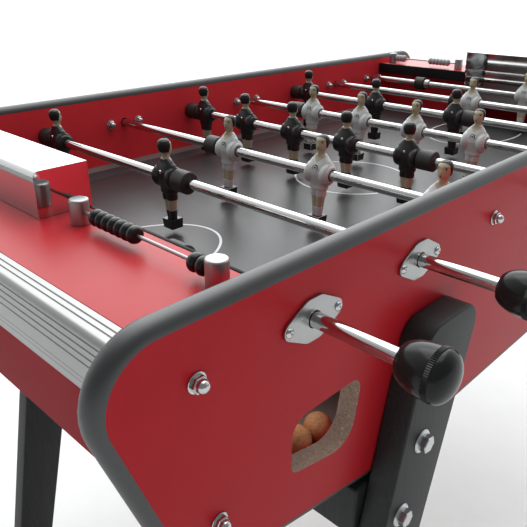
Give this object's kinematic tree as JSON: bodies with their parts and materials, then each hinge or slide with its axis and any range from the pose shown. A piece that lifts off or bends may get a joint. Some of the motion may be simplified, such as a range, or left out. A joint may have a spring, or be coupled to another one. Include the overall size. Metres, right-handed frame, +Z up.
{
  "type": "foosball table",
  "caption": "Foosball table: red cabinet on splayed black legs, telescopic rods of player figures with pear handles, steel goal boxes and bead score counters.",
  "frame": {"origin": "on the floor under the middle of the table", "axes": "+X along the length of the field, towards the white team's goal; +Y along the rods, away from the black team's handles; +Z up"},
  "size_m": [1.4294, 0.9432, 0.917],
  "materials": {
    "red_panel": "satin red laminate on particle board",
    "field_laminate": "satin dark grey laminate with thin white lines",
    "black_edging": "black half-round edging with a soft sheen",
    "black_wood": "black satin paint",
    "aluminium": "satin anodised",
    "mirror_steel": "mirror-polished sheet steel",
    "steel": "polished steel rod",
    "men_black": "polished steel tube, black painted figures, dark rubber bumpers",
    "men_white": "polished steel tube, white painted figures, dark rubber bumpers",
    "black_gloss": "glossy black plastic",
    "white_gloss": "glossy light grey plastic",
    "bare_board": "plain board",
    "cork": "cork, fine speckle"
  },
  "bodies": {
    "table": {"playing_field": "field_laminate", "side_wall_black": "red_panel", "edging_black": "black_edging", "end_deck_black": "red_panel", "end_profile_black": "aluminium", "end_panel_black": "red_panel", "goal_box_black": "mirror_steel", "score_rail_black": "aluminium", "cross_beam_black": "black_wood", "leg_black_near": "black_wood", "leg_black_far": "black_wood", "side_wall_white": "red_panel", "edging_white": "black_edging", "end_deck_white": "red_panel", "end_profile_white": "aluminium", "end_panel_white": "red_panel", "goal_box_white": "mirror_steel", "score_rail_white": "aluminium", "cross_beam_white": "black_wood", "leg_white_near": "black_wood", "leg_white_far": "black_wood", "ball_tray": "bare_board", "rod_1_black_bearing_plate": "mirror_steel", "rod_2_black_bearing_plate": "mirror_steel", "rod_3_white_bearing_plate": "mirror_steel", "rod_4_black_bearing_plate": "mirror_steel", "rod_5_white_bearing_plate": "mirror_steel", "rod_6_black_bearing_plate": "mirror_steel", "rod_7_white_bearing_plate": "mirror_steel", "rod_8_white_bearing_plate": "mirror_steel"},
    "rod_1_black_spin": {"rod_1_black_inner_rod": "steel"},
    "rod_1_black": {"rod_1_black_tube_and_men": "men_black", "rod_1_black_handle": "black_gloss"},
    "rod_2_black_spin": {"rod_2_black_inner_rod": "steel"},
    "rod_2_black": {"rod_2_black_tube_and_men": "men_black", "rod_2_black_handle": "black_gloss"},
    "rod_3_white_spin": {"rod_3_white_inner_rod": "steel"},
    "rod_3_white": {"rod_3_white_tube_and_men": "men_white", "rod_3_white_handle": "black_gloss"},
    "rod_4_black_spin": {"rod_4_black_inner_rod": "steel"},
    "rod_4_black": {"rod_4_black_tube_and_men": "men_black", "rod_4_black_handle": "black_gloss"},
    "rod_5_white_spin": {"rod_5_white_inner_rod": "steel"},
    "rod_5_white": {"rod_5_white_tube_and_men": "men_white", "rod_5_white_handle": "black_gloss"},
    "rod_6_black_spin": {"rod_6_black_inner_rod": "steel"},
    "rod_6_black": {"rod_6_black_tube_and_men": "men_black", "rod_6_black_handle": "black_gloss"},
    "rod_7_white_spin": {"rod_7_white_inner_rod": "steel"},
    "rod_7_white": {"rod_7_white_tube_and_men": "men_white", "rod_7_white_handle": "black_gloss"},
    "rod_8_white_spin": {"rod_8_white_inner_rod": "steel"},
    "rod_8_white": {"rod_8_white_tube_and_men": "men_white", "rod_8_white_handle": "black_gloss"},
    "beads_black_seven": {"beads_black_seven": "black_gloss"},
    "beads_black_two": {"beads_black_two": "black_gloss"},
    "beads_white_six": {"beads_white_six": "white_gloss"},
    "beads_white_three": {"beads_white_three": "white_gloss"},
    "ball_1": {"ball_1": "cork"},
    "ball_2": {"ball_2": "cork"}
  },
  "joints": [
    {"name": "rod_1_black_turn", "type": "hinge", "parent": "table", "child": "rod_1_black_spin", "pos_m": [-0.525, 0, 0.84], "axis": [0, 1, 0], "continuous": true},
    {"name": "rod_1_black_slide", "type": "slide", "parent": "rod_1_black_spin", "child": "rod_1_black", "axis": [0, 1, 0], "range_m": [-0.1292, 0]},
    {"name": "rod_2_black_turn", "type": "hinge", "parent": "table", "child": "rod_2_black_spin", "pos_m": [-0.375, 0, 0.84], "axis": [0, 1, 0], "continuous": true},
    {"name": "rod_2_black_slide", "type": "slide", "parent": "rod_2_black_spin", "child": "rod_2_black", "axis": [0, 1, 0], "range_m": [-0.3042, 0]},
    {"name": "rod_3_white_turn", "type": "hinge", "parent": "table", "child": "rod_3_white_spin", "pos_m": [-0.225, 0, 0.84], "axis": [0, 1, 0], "continuous": true},
    {"name": "rod_3_white_slide", "type": "slide", "parent": "rod_3_white_spin", "child": "rod_3_white", "axis": [0, 1, 0], "range_m": [0, 0.2262]},
    {"name": "rod_4_black_turn", "type": "hinge", "parent": "table", "child": "rod_4_black_spin", "pos_m": [-0.075, 0, 0.84], "axis": [0, 1, 0], "continuous": true},
    {"name": "rod_4_black_slide", "type": "slide", "parent": "rod_4_black_spin", "child": "rod_4_black", "axis": [0, 1, 0], "range_m": [-0.1362, 0]},
    {"name": "rod_5_white_turn", "type": "hinge", "parent": "table", "child": "rod_5_white_spin", "pos_m": [0.075, 0, 0.84], "axis": [0, 1, 0], "continuous": true},
    {"name": "rod_5_white_slide", "type": "slide", "parent": "rod_5_white_spin", "child": "rod_5_white", "axis": [0, 1, 0], "range_m": [0, 0.1362]},
    {"name": "rod_6_black_turn", "type": "hinge", "parent": "table", "child": "rod_6_black_spin", "pos_m": [0.225, 0, 0.84], "axis": [0, 1, 0], "continuous": true},
    {"name": "rod_6_black_slide", "type": "slide", "parent": "rod_6_black_spin", "child": "rod_6_black", "axis": [0, 1, 0], "range_m": [-0.2262, 0]},
    {"name": "rod_7_white_turn", "type": "hinge", "parent": "table", "child": "rod_7_white_spin", "pos_m": [0.375, 0, 0.84], "axis": [0, 1, 0], "continuous": true},
    {"name": "rod_7_white_slide", "type": "slide", "parent": "rod_7_white_spin", "child": "rod_7_white", "axis": [0, 1, 0], "range_m": [0, 0.3042]},
    {"name": "rod_8_white_turn", "type": "hinge", "parent": "table", "child": "rod_8_white_spin", "pos_m": [0.525, 0, 0.84], "axis": [0, 1, 0], "continuous": true},
    {"name": "rod_8_white_slide", "type": "slide", "parent": "rod_8_white_spin", "child": "rod_8_white", "axis": [0, 1, 0], "range_m": [0, 0.1292]},
    {"name": "beads_black_seven_slide", "type": "slide", "parent": "table", "child": "beads_black_seven", "axis": [0, 1, 0], "range_m": [-0.0665, 0.0145]},
    {"name": "beads_black_two_slide", "type": "slide", "parent": "table", "child": "beads_black_two", "axis": [0, 1, 0], "range_m": [0, 0.0665]},
    {"name": "beads_white_six_slide", "type": "slide", "parent": "table", "child": "beads_white_six", "axis": [0, 1, 0], "range_m": [-0.0145, 0.0665]},
    {"name": "beads_white_three_slide", "type": "slide", "parent": "table", "child": "beads_white_three", "axis": [0, 1, 0], "range_m": [-0.0665, 0]},
    {"name": "ball_1_roll", "type": "slide", "parent": "table", "child": "ball_1", "axis": [-1, 0, 0], "range_m": [0, 0.07]},
    {"name": "ball_2_roll", "type": "slide", "parent": "table", "child": "ball_2", "axis": [0, 1, 0], "range_m": [0, 0.2]}
  ]
}
